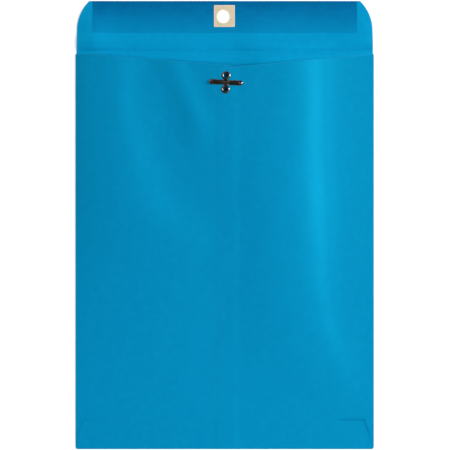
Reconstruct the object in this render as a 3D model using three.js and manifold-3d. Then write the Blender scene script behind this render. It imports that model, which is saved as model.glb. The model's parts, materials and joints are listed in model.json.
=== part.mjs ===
// Clasp envelope for nine by twelve inch sheets, lying face down with its seal flap open.
// The frame: X across the envelope, Y from the bottom fold towards the mouth, Z up from the table.
// The origin is the middle of the front panel's outer face, which lies on the table. Units: mm.

import * as THREE from "three";
import { mergeVertices } from "three/addons/utils/BufferGeometryUtils.js";
import Module from "manifold-3d";

// Paper and glue
const PAPER = 0.15;
const GLUE = 0.05;

// Body, a flat pouch folded from the front panel
const BODY_WIDTH = 228.6;
const BODY_HEIGHT = 304.8;
const INNER_GAP = 0.3;
const FOLD_STEPS = 6;

// Bulge of the back panels, a slim wedge that keeps the empty pouch open at its mouth
const BULGE_HEIGHT = 4.3;
const BULGE_CROWN = 20;
const BULGE_START = 25.4;
const BULGE_FULL_DROP = 47;
const BULGE_POWER = 5;

// Throat, the cut top edges of the two back panels
const THROAT_SIDE_DROP = 2.4;
const LEFT_THROAT_DROP = 11.6;
const RIGHT_THROAT_DROP = 14;
const THROAT_ROW_DROP = 42;

// Centre seam: the right panel's edge lies on the left panel, off the envelope's middle
const SEAM_VISIBLE_EDGE = -4.8;
const SEAM_HIDDEN_EDGE = 5.3;
const SEAM_GLUE_INSET = 1;
const SEAM_CLEARANCE = 0.5;
const SEAM_RAMP = 5.2;

// Bottom flap, folded up from the front panel over both back panels
const BOTTOM_FLAP_HEIGHT = 23;
const BOTTOM_FLAP_SHOULDER = 8.5;
const BOTTOM_FLAP_FOOT_INSET = 1;
const BOTTOM_FLAP_SHOULDER_INSET = 1.7;
const BOTTOM_FLAP_TOP_INSET = 7.2;
const BOTTOM_FLAP_RAMP = 4;
const BOTTOM_GLUE_RISE = 4;
const BOTTOM_GLUE_WIDTH = 17;
const BOTTOM_GLUE_SIDE_INSET = 19;

// Seal flap with its gum strip, punched hole and hole patch
const CREASE_GAP = 0.3;
const FLAP_DEPTH = 38.5;
const FLAP_INSET = 0.7;
const FLAP_TAPER = 0.4;
const FLAP_CORNER_RADIUS = 31.7;
const FLAP_CORNER_RISE = 15.9;
const GUM_WIDTH = 203;
const GUM_DEPTH = 23.7;
const GUM_EDGE = 1;
const HOLE_RADIUS = 5;
const HOLE_RISE = 26.6;
const HOLE_X = -0.85;
const PATCH_WIDTH = 15.9;
const PATCH_HEIGHT = 16.6;
const PATCH_THICKNESS = 0.18;
const PATCH_OFFSET_X = 0.6;
const PATCH_OFFSET_Y = 0.4;

// Clasp: a stamped plate with two eyelets that are clinched through the paper, and two prongs
const CLASP_X = 0.9;
const CLASP_DROP = 24.4;
const CLASP_TILT_DEG = -3;
const CLASP_SHEET = 0.3;
const EYELET_SPACING = 10.5;
const EYELET_BORE_RADIUS = 1.65;
const EYELET_RIM_RADIUS = 3.3;
const EYELET_RIM_HEIGHT = 0.85;
const EYELET_CLINCH_RADIUS = 2.75;
const EYELET_CLINCH_HEIGHT = 0.25;
const EYELET_CLEARANCE = 0.25;
const EYELET_SEGMENTS = 28;
const NECK_WIDTH = 2.6;
const NECK_FLARE = 0.4;
const NECK_OVERLAP = 0.8;
const SPINE_WIDTH = 0.7;
const SPINE_HEIGHT = 1;
const SPINE_INSET = 0.1;

// Prongs, each a pressed channel on a rolled root
const PRONG_REACH = 12.9;
const PRONG_WIDTH = 3.9;
const PRONG_HEIGHT = 0.85;
const PRONG_HINGE_OFFSET = 1;
const PRONG_ROOT_RADIUS = 0.4;
const PRONG_ROOT_INSET = 0.4;
const PRONG_LIFT = 0.2;
const PRONG_SHOULDER = 3.2;
const DIMPLE_FROM_TIP = 1.9;
const DIMPLE_RADIUS = 0.9;
const DIMPLE_DEPTH = 0.14;
const ARC_SEGMENTS = 12;

// Levels in the stack of layers, from the table up, where the pouch lies flat
const BACK_UNDER = PAPER + INNER_GAP;
const BACK_OVER = BACK_UNDER + PAPER;
const SEAM_STEP = GLUE + PAPER;
const CLASP_SEAT = BACK_OVER + SEAM_STEP + BULGE_HEIGHT;

// Places that follow from the sizes
const HALF_WIDTH = BODY_WIDTH / 2;
const BOTTOM_Y = -BODY_HEIGHT / 2;
const CREASE_Y = BODY_HEIGHT / 2;
const SIDE_FOLD_RADIUS = BACK_OVER / 2;
const SIDE_FOLD_X = HALF_WIDTH - SIDE_FOLD_RADIUS;
const BOTTOM_FOLD_RADIUS = (BACK_OVER + SEAM_STEP + GLUE + PAPER) / 2;
const BOTTOM_FOLD_Y = BOTTOM_Y + BOTTOM_FOLD_RADIUS;
const BACK_BOTTOM_Y = BOTTOM_FOLD_Y + INNER_GAP;
const SEAM_FLAT_END = SEAM_HIDDEN_EDGE + SEAM_CLEARANCE;
const SEAM_RAMP_END = SEAM_FLAT_END + SEAM_RAMP;
const BULGE_FOOT_Y = BOTTOM_Y + BULGE_START;
const BULGE_FULL_Y = CREASE_Y - BULGE_FULL_DROP;
const CLASP_Y = CREASE_Y - CLASP_DROP;
const HOLE_Y = CREASE_Y + HOLE_RISE;
const EYELET_BARREL_RADIUS = EYELET_BORE_RADIUS + CLASP_SHEET;

// Materials
const ENVELOPE_PAPER = { color: 0x038cbc, roughness: 0.6, metalness: 0 };
const DRIED_GUM = { color: 0x0373a5, roughness: 0.3, metalness: 0 };
const SEAM_ADHESIVE = { color: 0xd6d0bb, roughness: 0.5, metalness: 0 };
const KRAFT_PATCH = { color: 0xcdbfa5, roughness: 0.75, metalness: 0 };
const TINNED_STEEL = { color: 0x8a8784, roughness: 0.28, metalness: 1 };

const manifoldLibrary = await Module();
manifoldLibrary.setup();

const group = new THREE.Group();

function addPiece(parent, name, geometry, finish) {
  const mesh = new THREE.Mesh(geometry, new THREE.MeshStandardMaterial(finish));
  mesh.name = name;
  parent.add(mesh);
  return mesh;
}

// Booleans
function toSolid(geometry) {
  const bare = geometry.clone();
  bare.deleteAttribute("normal");
  bare.deleteAttribute("uv");
  const welded = mergeVertices(bare, 1e-5);
  return new manifoldLibrary.Manifold(
    new manifoldLibrary.Mesh({
      numProp: 3,
      vertProperties: new Float32Array(welded.attributes.position.array),
      triVerts: new Uint32Array(welded.index.array),
    }),
  );
}

function toGeometry(solid) {
  const mesh = solid.getMesh();
  const geometry = new THREE.BufferGeometry();
  geometry.setAttribute("position", new THREE.Float32BufferAttribute(mesh.vertProperties, 3));
  geometry.setIndex(Array.from(mesh.triVerts));
  geometry.computeVertexNormals();
  return geometry;
}

// A sheet is two matching grids of points, its upper and lower faces, closed by a rim.
// pointAt(column, row, upper) gives a grid point; columns run along X and rows along Y.
function sheetGeometry(columns, rows, pointAt) {
  const positions = [];
  const faces = [];
  for (const upper of [false, true]) {
    for (let row = 0; row < rows; row += 1) {
      for (let column = 0; column < columns; column += 1) {
        positions.push(...pointAt(column, row, upper));
      }
    }
  }
  const lastColumn = columns - 1;
  const lastRow = rows - 1;
  const index = (column, row, upper) => (upper ? rows * columns : 0) + row * columns + column;
  const cell = (column, row, upper) => [
    index(column, row, upper),
    index(column + 1, row, upper),
    index(column + 1, row + 1, upper),
    index(column, row + 1, upper),
  ];
  for (let row = 0; row < lastRow; row += 1) {
    for (let column = 0; column < lastColumn; column += 1) {
      const [a, b, c, d] = cell(column, row, true);
      faces.push(a, b, c, a, c, d);
      const [e, f, g, h] = cell(column, row, false);
      faces.push(e, g, f, e, h, g);
    }
  }
  const addRim = (column, row, nextColumn, nextRow) => {
    const a = index(column, row, false);
    const b = index(nextColumn, nextRow, false);
    const c = index(nextColumn, nextRow, true);
    const d = index(column, row, true);
    faces.push(a, b, c, a, c, d);
  };
  for (let column = 0; column < lastColumn; column += 1) {
    addRim(column, 0, column + 1, 0);
    addRim(column + 1, lastRow, column, lastRow);
  }
  for (let row = 0; row < lastRow; row += 1) {
    addRim(lastColumn, row, lastColumn, row + 1);
    addRim(0, row + 1, 0, row);
  }
  const geometry = new THREE.BufferGeometry();
  geometry.setAttribute("position", new THREE.Float32BufferAttribute(positions, 3));
  geometry.setIndex(faces);
  geometry.computeVertexNormals();
  return geometry;
}

function rectangle(centreX, centreY, width, height) {
  const shape = new THREE.Shape();
  shape.moveTo(centreX - width / 2, centreY - height / 2);
  shape.lineTo(centreX + width / 2, centreY - height / 2);
  shape.lineTo(centreX + width / 2, centreY + height / 2);
  shape.lineTo(centreX - width / 2, centreY + height / 2);
  shape.closePath();
  return shape;
}

function extrude(shape, depth, curveSegments = ARC_SEGMENTS) {
  return new THREE.ExtrudeGeometry(shape, { depth, bevelEnabled: false, curveSegments });
}

function evenSteps(from, to, count) {
  return Array.from({ length: count + 1 }, (_, step) => from + ((to - from) * step) / count);
}

// The bulge: full height over a flat crown, falling to nothing at the side folds and the bottom
function bulgeAt(x, y) {
  const outward = Math.max(0, Math.abs(x) - BULGE_CROWN) / (SIDE_FOLD_X - BULGE_CROWN);
  const upward = THREE.MathUtils.smoothstep(y, BULGE_FOOT_Y, BULGE_FULL_Y);
  return BULGE_HEIGHT * (1 - outward ** BULGE_POWER) * upward;
}

// The right panel rides on the left one at the seam, and steps down beside it
function rideAt(x) {
  return SEAM_STEP * THREE.MathUtils.clamp((SEAM_RAMP_END - x) / SEAM_RAMP, 0, 1);
}

// Rows of a back panel: flat foot, rising bulge, full bulge and the slanting throat
const RISING_ROWS = evenSteps(BULGE_FOOT_Y, BULGE_FULL_Y, 16);
const BACK_ROWS = [BACK_BOTTOM_Y, ...RISING_ROWS, CREASE_Y - THROAT_ROW_DROP];

// One back panel with its half-round side fold, from the front panel's side edge to the seam.
// side is -1 for the left panel and 1 for the right one; seamLines run from the crown to the seam.
function backPanelGeometry(side, seamLines, seamThroatDrop, ride) {
  const slopeLines = evenSteps(SIDE_FOLD_X, BULGE_CROWN, 16);
  const lines = [];
  for (let step = 0; step < FOLD_STEPS; step += 1) {
    lines.push({ angle: (Math.PI * step) / FOLD_STEPS, x: side * SIDE_FOLD_X });
  }
  for (const x of slopeLines) {
    lines.push({ angle: Math.PI, x: side * x });
  }
  for (const x of seamLines) {
    lines.push({ angle: Math.PI, x });
  }
  if (side > 0) {
    lines.reverse();
  }
  const seamEdge = seamLines[seamLines.length - 1];
  const throatAt = (x) => {
    const share = (SIDE_FOLD_X - side * x) / (SIDE_FOLD_X - side * seamEdge);
    return CREASE_Y - THREE.MathUtils.lerp(THROAT_SIDE_DROP, seamThroatDrop, share);
  };
  const pointAt = (column, row, upper) => {
    const { angle, x } = lines[column];
    const y = row < BACK_ROWS.length ? BACK_ROWS[row] : throatAt(x);
    if (angle < Math.PI) {
      const radius = SIDE_FOLD_RADIUS - (upper ? 0 : PAPER);
      return [x + side * radius * Math.sin(angle), y, SIDE_FOLD_RADIUS - radius * Math.cos(angle)];
    }
    return [x, y, (upper ? BACK_OVER : BACK_UNDER) + ride(x) + bulgeAt(x, y)];
  };
  return sheetGeometry(lines.length, BACK_ROWS.length + 1, pointAt);
}

// The places of the two eyelets, and the clearance holes that they need in each layer
function eyeletPlaces() {
  const tilt = THREE.MathUtils.degToRad(CLASP_TILT_DEG);
  return [-1, 1].map((end) => ({
    x: CLASP_X - (end * EYELET_SPACING * Math.sin(tilt)) / 2,
    y: CLASP_Y + (end * EYELET_SPACING * Math.cos(tilt)) / 2,
  }));
}

function punchEyelets(geometry) {
  const reach = CLASP_SEAT * 2;
  let solid = toSolid(geometry);
  for (const { x, y } of eyeletPlaces()) {
    const punch = new THREE.CylinderGeometry(
      EYELET_BARREL_RADIUS + EYELET_CLEARANCE,
      EYELET_BARREL_RADIUS + EYELET_CLEARANCE,
      reach,
      EYELET_SEGMENTS,
    );
    punch.rotateX(Math.PI / 2);
    punch.translate(x, y, CLASP_SEAT);
    solid = solid.subtract(toSolid(punch));
  }
  return toGeometry(solid);
}

// Front panel, flat on the table; its top corners step in to the width of the seal flap
function frontPanelGeometry() {
  const neckX = HALF_WIDTH - FLAP_INSET;
  const neckY = CREASE_Y - THROAT_SIDE_DROP;
  const top = CREASE_Y - CREASE_GAP / 2;
  const outline = new THREE.Shape();
  outline.moveTo(-SIDE_FOLD_X, BOTTOM_FOLD_Y);
  outline.lineTo(SIDE_FOLD_X, BOTTOM_FOLD_Y);
  outline.lineTo(SIDE_FOLD_X, neckY);
  outline.lineTo(neckX, neckY + FLAP_INSET);
  outline.lineTo(neckX, top);
  outline.lineTo(-neckX, top);
  outline.lineTo(-neckX, neckY + FLAP_INSET);
  outline.lineTo(-SIDE_FOLD_X, neckY);
  outline.closePath();
  return extrude(outline, PAPER);
}

// Glue line of the centre seam, between the two back panels
function seamGlueGeometry() {
  const lines = [SEAM_VISIBLE_EDGE + SEAM_GLUE_INSET, SEAM_HIDDEN_EDGE - SEAM_GLUE_INSET];
  const top = CREASE_Y - RIGHT_THROAT_DROP - SEAM_GLUE_INSET;
  const rows = [...BACK_ROWS, top];
  return sheetGeometry(lines.length, rows.length, (column, row, upper) => {
    const x = lines[column];
    const y = rows[row];
    return [x, y, BACK_OVER + (upper ? GLUE : 0) + bulgeAt(x, y)];
  });
}

// Height of the back layers under the bottom flap, which ramps up to the seam from the left
function coverAt(x) {
  if (x < SEAM_VISIBLE_EDGE) {
    const ramp = (x - SEAM_VISIBLE_EDGE) / BOTTOM_FLAP_RAMP + 1;
    return BACK_OVER + SEAM_STEP * Math.max(0, ramp);
  }
  return BACK_OVER + rideAt(x);
}

const COVER_LINES = [SEAM_VISIBLE_EDGE - BOTTOM_FLAP_RAMP, SEAM_VISIBLE_EDGE, SEAM_FLAT_END, SEAM_RAMP_END];

// Bottom flap: the half-round bottom fold, then a trapezoid whose side edges slant in
function bottomFlapGeometry() {
  const foot = HALF_WIDTH - BOTTOM_FLAP_FOOT_INSET;
  const rows = [];
  for (let step = 0; step < FOLD_STEPS; step += 1) {
    rows.push({ angle: (Math.PI * step) / FOLD_STEPS, y: BOTTOM_FOLD_Y, half: foot });
  }
  rows.push({ angle: Math.PI, y: BOTTOM_FOLD_Y, half: foot });
  rows.push({
    angle: Math.PI,
    y: BOTTOM_Y + BOTTOM_FLAP_SHOULDER,
    half: HALF_WIDTH - BOTTOM_FLAP_SHOULDER_INSET,
  });
  rows.push({ angle: Math.PI, y: BOTTOM_Y + BOTTOM_FLAP_HEIGHT, half: HALF_WIDTH - BOTTOM_FLAP_TOP_INSET });
  const lines = [null, ...COVER_LINES, null];
  return sheetGeometry(lines.length, rows.length, (column, row, upper) => {
    const { angle, y, half } = rows[row];
    const x = lines[column] ?? (column === 0 ? -half : half);
    const height = coverAt(x) + GLUE + PAPER;
    const inset = upper ? 0 : PAPER;
    const depth = BOTTOM_FOLD_RADIUS - inset;
    const rise = (height / 2 - inset) * (1 - Math.cos(angle));
    return [x, angle < Math.PI ? y - depth * Math.sin(angle) : y, inset + rise];
  });
}

function bottomGlueGeometry() {
  const half = HALF_WIDTH - BOTTOM_GLUE_SIDE_INSET;
  const lines = [-half, ...COVER_LINES, half];
  const rows = [BOTTOM_Y + BOTTOM_GLUE_RISE, BOTTOM_Y + BOTTOM_GLUE_RISE + BOTTOM_GLUE_WIDTH];
  return sheetGeometry(lines.length, rows.length, (column, row, upper) => {
    const x = lines[column];
    return [x, rows[row], coverAt(x) + (upper ? GLUE : 0)];
  });
}

// Seal flap: straight sides, then round corners that the straight free edge cuts across
function sealFlapOutline() {
  const root = CREASE_Y + CREASE_GAP / 2;
  const free = CREASE_Y + FLAP_DEPTH;
  const cornerY = CREASE_Y + FLAP_CORNER_RISE;
  const rootX = HALF_WIDTH - FLAP_INSET;
  const sideX = rootX - FLAP_TAPER;
  const centreX = sideX - FLAP_CORNER_RADIUS;
  const cut = Math.asin(Math.min(1, (free - cornerY) / FLAP_CORNER_RADIUS));
  const outline = new THREE.Shape();
  outline.moveTo(-rootX, root);
  outline.lineTo(rootX, root);
  outline.lineTo(sideX, cornerY);
  outline.absarc(centreX, cornerY, FLAP_CORNER_RADIUS, 0, cut, false);
  outline.absarc(-centreX, cornerY, FLAP_CORNER_RADIUS, Math.PI - cut, Math.PI, false);
  outline.closePath();
  return outline;
}

function punchedHole() {
  const hole = new THREE.Path();
  hole.absarc(HOLE_X, HOLE_Y, HOLE_RADIUS, 0, Math.PI * 2, true);
  return hole;
}

function sealFlapGeometry() {
  const outline = sealFlapOutline();
  outline.holes.push(punchedHole());
  return extrude(outline, PAPER);
}

function gumGeometry() {
  const centreY = CREASE_Y + FLAP_DEPTH - GUM_EDGE - GUM_DEPTH / 2;
  const outline = rectangle(0, centreY, GUM_WIDTH, GUM_DEPTH);
  outline.holes.push(punchedHole());
  return extrude(outline, GLUE);
}

function patchGeometry() {
  const outline = rectangle(HOLE_X + PATCH_OFFSET_X, HOLE_Y + PATCH_OFFSET_Y, PATCH_WIDTH, PATCH_HEIGHT);
  outline.holes.push(punchedHole());
  return extrude(outline, PATCH_THICKNESS);
}

// Clasp pieces are made about the clasp's own middle, with Z = 0 on the paper that it sits on.
// An eyelet is one revolve: rolled rim above, barrel through the paper, clinched rim below.
function eyeletGeometry() {
  const stack = PAPER + GLUE + PAPER;
  const rimMiddle = (EYELET_RIM_RADIUS + EYELET_BORE_RADIUS) / 2;
  const rimHalf = (EYELET_RIM_RADIUS - EYELET_BORE_RADIUS) / 2;
  const clinchMiddle = (EYELET_CLINCH_RADIUS + EYELET_BORE_RADIUS) / 2;
  const clinchHalf = (EYELET_CLINCH_RADIUS - EYELET_BORE_RADIUS) / 2;
  const profile = [];
  for (const angle of evenSteps(0, Math.PI, ARC_SEGMENTS)) {
    const height = angle < Math.PI ? EYELET_RIM_HEIGHT * Math.sin(angle) : 0;
    profile.push(new THREE.Vector2(rimMiddle + rimHalf * Math.cos(angle), height));
  }
  for (const angle of evenSteps(Math.PI, 0, ARC_SEGMENTS / 2)) {
    const depth = angle > 0 && angle < Math.PI ? EYELET_CLINCH_HEIGHT * Math.sin(angle) : 0;
    profile.push(new THREE.Vector2(clinchMiddle + clinchHalf * Math.cos(angle), -stack - depth));
  }
  profile.push(new THREE.Vector2(EYELET_BARREL_RADIUS, -stack));
  profile.push(new THREE.Vector2(EYELET_BARREL_RADIUS, 0));
  profile.push(profile[0].clone());
  const ring = new THREE.LatheGeometry(profile, EYELET_SEGMENTS);
  ring.rotateX(Math.PI / 2);
  return ring;
}

// The neck joins the two eyelets and is waisted between them
function neckGeometry() {
  const end = EYELET_SPACING / 2 - EYELET_RIM_RADIUS + NECK_OVERLAP;
  const half = NECK_WIDTH / 2;
  const outline = new THREE.Shape();
  outline.moveTo(-half - NECK_FLARE, -end);
  outline.lineTo(half + NECK_FLARE, -end);
  outline.quadraticCurveTo(half - NECK_FLARE, 0, half + NECK_FLARE, end);
  outline.lineTo(-half - NECK_FLARE, end);
  outline.quadraticCurveTo(-half + NECK_FLARE, 0, -half - NECK_FLARE, -end);
  return extrude(outline, CLASP_SHEET);
}

// The spine is the fold of metal that stands between the roots of the two prongs
function spineGeometry() {
  const length = PRONG_WIDTH - 2 * PRONG_ROOT_INSET - 2 * SPINE_INSET;
  const half = SPINE_WIDTH / 2;
  const section = new THREE.Shape();
  section.moveTo(-half, CLASP_SHEET / 2);
  section.lineTo(half, CLASP_SHEET / 2);
  section.absarc(0, SPINE_HEIGHT - half, half, 0, Math.PI, false);
  section.closePath();
  const spine = extrude(section, length, ARC_SEGMENTS / 2);
  spine.rotateX(Math.PI / 2);
  spine.translate(0, length / 2, 0);
  return spine;
}

function claspBaseGeometry() {
  let base = toSolid(neckGeometry()).add(toSolid(spineGeometry()));
  for (const end of [-1, 1]) {
    const eyelet = eyeletGeometry();
    eyelet.translate(0, (end * EYELET_SPACING) / 2, 0);
    base = base.add(toSolid(eyelet));
  }
  return toGeometry(base);
}

// A prong lies along +X from its hinge axis: an arched channel cut to a round tip, on a rolled root.
// The stamping die leaves a small dimple in its crown near the tip.
function prongGeometry() {
  const length = PRONG_REACH - PRONG_HINGE_OFFSET;
  const half = PRONG_WIDTH / 2;
  const outer = (half ** 2 + PRONG_HEIGHT ** 2) / (2 * PRONG_HEIGHT);
  const inner = outer - CLASP_SHEET;
  const drop = outer - PRONG_HEIGHT;
  const outerAngle = Math.asin(drop / outer);
  const innerAngle = Math.asin(drop / inner);
  const section = new THREE.Shape();
  section.absarc(0, -drop, outer, outerAngle, Math.PI - outerAngle, false);
  section.absarc(0, -drop, inner, Math.PI - innerAngle, innerAngle, true);
  section.closePath();
  const channel = extrude(section, length, ARC_SEGMENTS);
  channel.rotateX(Math.PI / 2);
  channel.rotateZ(Math.PI / 2);
  channel.translate(0, 0, -PRONG_ROOT_RADIUS);

  const plan = new THREE.Shape();
  const rootHalf = half - PRONG_ROOT_INSET;
  plan.moveTo(0, -rootHalf);
  plan.lineTo(PRONG_SHOULDER, -half);
  plan.absarc(length - half, 0, half, -Math.PI / 2, Math.PI / 2, false);
  plan.lineTo(PRONG_SHOULDER, half);
  plan.lineTo(0, rootHalf);
  plan.closePath();
  const cutter = extrude(plan, PRONG_WIDTH, ARC_SEGMENTS);
  cutter.translate(0, 0, -half);

  const root = new THREE.CylinderGeometry(
    PRONG_ROOT_RADIUS,
    PRONG_ROOT_RADIUS,
    2 * rootHalf,
    ARC_SEGMENTS,
  );
  const dimple = new THREE.SphereGeometry(DIMPLE_RADIUS, 2 * ARC_SEGMENTS, ARC_SEGMENTS);
  const crown = PRONG_HEIGHT - PRONG_ROOT_RADIUS;
  dimple.translate(length - DIMPLE_FROM_TIP, 0, crown + DIMPLE_RADIUS - DIMPLE_DEPTH);
  const prong = toSolid(channel).intersect(toSolid(cutter)).add(toSolid(root));
  return toGeometry(prong.subtract(toSolid(dimple)));
}

// Assembly of the paper pieces
const leftSeamLines = [0, SEAM_HIDDEN_EDGE];
const rightSeamLines = [SEAM_RAMP_END, SEAM_FLAT_END, 0, SEAM_VISIBLE_EDGE];
addPiece(group, "front_panel", frontPanelGeometry(), ENVELOPE_PAPER);
addPiece(
  group,
  "left_back_panel",
  punchEyelets(backPanelGeometry(-1, leftSeamLines, LEFT_THROAT_DROP, () => 0)),
  ENVELOPE_PAPER,
);
addPiece(
  group,
  "right_back_panel",
  punchEyelets(backPanelGeometry(1, rightSeamLines, RIGHT_THROAT_DROP, rideAt)),
  ENVELOPE_PAPER,
);
addPiece(group, "centre_seam_glue", punchEyelets(seamGlueGeometry()), SEAM_ADHESIVE);
addPiece(group, "bottom_flap", bottomFlapGeometry(), ENVELOPE_PAPER);
addPiece(group, "bottom_flap_glue", bottomGlueGeometry(), SEAM_ADHESIVE);

// The seal flap lies open past the crease, gummed side up
addPiece(group, "seal_flap", sealFlapGeometry(), ENVELOPE_PAPER);
addPiece(group, "flap_gum_strip", gumGeometry(), DRIED_GUM).position.z = PAPER;
addPiece(group, "flap_hole_patch", patchGeometry(), KRAFT_PATCH).position.z = PAPER + GLUE;

// The clasp sits over the seam on the bulge's flat crown, its prongs spread flat
const clasp = new THREE.Group();
clasp.position.set(CLASP_X, CLASP_Y, CLASP_SEAT);
clasp.rotation.z = THREE.MathUtils.degToRad(CLASP_TILT_DEG);
group.add(clasp);
addPiece(clasp, "clasp_base", claspBaseGeometry(), TINNED_STEEL);
const prongHeight = CLASP_SHEET + PRONG_LIFT + PRONG_ROOT_RADIUS;
const rightProng = addPiece(clasp, "clasp_right_prong", prongGeometry(), TINNED_STEEL);
rightProng.position.set(PRONG_HINGE_OFFSET, 0, prongHeight);
const leftProng = addPiece(clasp, "clasp_left_prong", prongGeometry(), TINNED_STEEL);
leftProng.position.set(-PRONG_HINGE_OFFSET, 0, prongHeight);
leftProng.rotation.z = Math.PI;

export default group;
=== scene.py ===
"""Clasp envelope for nine by twelve inch sheets, lying face down with its seal flap open."""

import json
import math

import bmesh
import bpy
import numpy as np
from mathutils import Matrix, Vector


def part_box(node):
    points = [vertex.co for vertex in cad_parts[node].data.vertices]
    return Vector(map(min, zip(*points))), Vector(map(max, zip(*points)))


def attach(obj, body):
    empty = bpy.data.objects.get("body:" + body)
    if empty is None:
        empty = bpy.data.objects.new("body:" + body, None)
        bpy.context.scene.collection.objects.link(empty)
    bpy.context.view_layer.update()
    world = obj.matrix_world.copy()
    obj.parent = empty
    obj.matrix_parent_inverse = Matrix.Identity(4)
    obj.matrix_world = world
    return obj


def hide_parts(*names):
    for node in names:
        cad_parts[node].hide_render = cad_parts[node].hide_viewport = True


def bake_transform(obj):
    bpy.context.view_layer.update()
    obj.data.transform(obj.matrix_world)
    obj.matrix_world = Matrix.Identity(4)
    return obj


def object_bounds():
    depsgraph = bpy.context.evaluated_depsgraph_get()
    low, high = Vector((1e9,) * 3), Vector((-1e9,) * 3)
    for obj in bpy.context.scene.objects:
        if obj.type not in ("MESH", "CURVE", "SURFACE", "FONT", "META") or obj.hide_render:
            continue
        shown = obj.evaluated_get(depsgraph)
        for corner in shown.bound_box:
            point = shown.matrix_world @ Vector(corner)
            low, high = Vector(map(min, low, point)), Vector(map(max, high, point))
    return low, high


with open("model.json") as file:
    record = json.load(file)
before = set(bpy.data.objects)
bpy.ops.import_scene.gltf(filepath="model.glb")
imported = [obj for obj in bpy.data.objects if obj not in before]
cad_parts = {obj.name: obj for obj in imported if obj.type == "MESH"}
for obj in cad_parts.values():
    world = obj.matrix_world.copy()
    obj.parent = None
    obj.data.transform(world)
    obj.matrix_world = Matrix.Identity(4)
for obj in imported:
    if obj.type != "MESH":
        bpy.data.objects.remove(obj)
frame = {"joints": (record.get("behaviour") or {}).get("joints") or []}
cad_low, cad_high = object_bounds()
joints = {joint["name"]: joint for joint in frame["joints"]}

# Front of the folded sheet
# The envelope is one die-cut blank of dyed wove paper. Its front panel lies on the table and runs
# on without a break into the seal flap, with a scored crease where the flap folds.
MM = 0.001
PAPER = 0.15
PAPER_COLOUR = "#0381b3"
PAPER_PALE_COLOUR = "#0484b6"
PAPER_DEEP_COLOUR = "#027fb0"
# Cut edges are drawn paler: partly frayed fibres, partly a painted highlight along the lit edges.
CUT_EDGE_AND_HIGHLIGHT_COLOUR = "#3fb0dc"
INNER_SIDE_TONE = 1.19
PAPER_SHEEN_COLOUR = "#12e5ff"
FORMATION_SIZE = 4.5
FIBRE_LENGTH = 2.4
FIBRE_WIDTH = 0.45
EDGE_TONE_WIDTH = 0.8
FREE_EDGE_TONE_SHARE = 0.7
SHARP_ANGLE_DEG = 38
PANEL_SHOULDER_DROP = 2.4
PANEL_SHOULDER_RISE = 0.7
FLAP_TAPER = 0.4
FLAP_CORNER_RADIUS = 31.7
FLAP_CORNER_RISE = 15.9
CREASE_RISE = 0.8
CREASE_REACH = 2.6
CREASE_ROUND = 0.35
# Where the sheet arches off the table, chosen: places across and heights, both in millimetres.
MOUTH_SWELL = [
    (-114, 0), (-98, 1.5), (-75, 0.2), (-30, 0.7), (-12, 0.3), (8, 0.1), (26, 1.9), (44, 1.8), (84, 0.1),
]
MOUTH_SWELL_ROUNDING = 5
FLAP_SWELL = [
    (-114, 0), (-102, 2.2), (-84, 0.5), (-70, 0.1), (6, 0.1), (23, 1.0), (60, 0.1), (78, 0.1),
    (108, 1.1), (114, 0.8),
]
FLAP_SWELL_ROUNDING = 4
FLAP_SWELL_REACH = 12.0
SWELL_RISE = (-40, -14)
SWELL_FADE = (20, 40)
SPRING_FADE = (6, 16)
GLUED_RISE = (3, -1)
GLUED_SIDE_POWER = 8
HOLE_FLATNESS = 0.4
HOLE_FLAT_REACH = 15
HOLE_RADIUS = 5.0
HOLE_OFFSET_X = 0.6
HOLE_OFFSET_Y = 0.4
FRONT_COLUMNS = 181
FRONT_CROWDING = 0.35


def linear_colour(hex_colour):
    """An sRGB hex colour as linear RGBA."""
    channels = [int(hex_colour[at:at + 2], 16) / 255 for at in (1, 3, 5)]
    curve = [c / 12.92 if c <= 0.04045 else ((c + 0.055) / 1.055) ** 2.4 for c in channels]
    return (*curve, 1.0)


def add_node(tree, kind, inputs=None, **settings):
    """Adds a node, sets its settings, and links or sets its inputs."""
    node = tree.nodes.new(kind)
    for name, value in settings.items():
        setattr(node, name, value)
    for name, value in (inputs or {}).items():
        if isinstance(value, bpy.types.NodeSocket):
            tree.links.new(value, node.inputs[name])
        else:
            node.inputs[name].default_value = value
    return node


def new_material(name):
    """An empty material and its node tree."""
    material = bpy.data.materials.new(name)
    material.use_nodes = True
    tree = material.node_tree
    tree.nodes.clear()
    return material, tree


def box_mm(node):
    """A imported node's lowest and highest corners in millimetres."""
    low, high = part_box(node)
    return low / MM, high / MM


def smooth(low, high, value):
    """A soft rise from 0 to 1 as the value goes from low to high."""
    share = np.clip((value - low) / (high - low), 0, 1)
    return share * share * (3 - 2 * share)


def add_object(name, points, faces):
    """A mesh object from points in millimetres, with smooth faces between its sharp edges."""
    mesh = bpy.data.meshes.new(name)
    mesh.from_pydata((np.asarray(points, float).reshape(-1, 3) * MM).tolist(), [], faces)
    shape = bmesh.new()
    shape.from_mesh(mesh)
    bmesh.ops.remove_doubles(shape, verts=shape.verts, dist=1e-8)
    bmesh.ops.recalc_face_normals(shape, faces=shape.faces)
    shape.to_mesh(mesh)
    shape.free()
    mesh.shade_smooth()
    mesh.set_sharp_from_angle(angle=math.radians(SHARP_ANGLE_DEG))
    piece = bpy.data.objects.new(name, mesh)
    bpy.context.scene.collection.objects.link(piece)
    return piece


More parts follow.
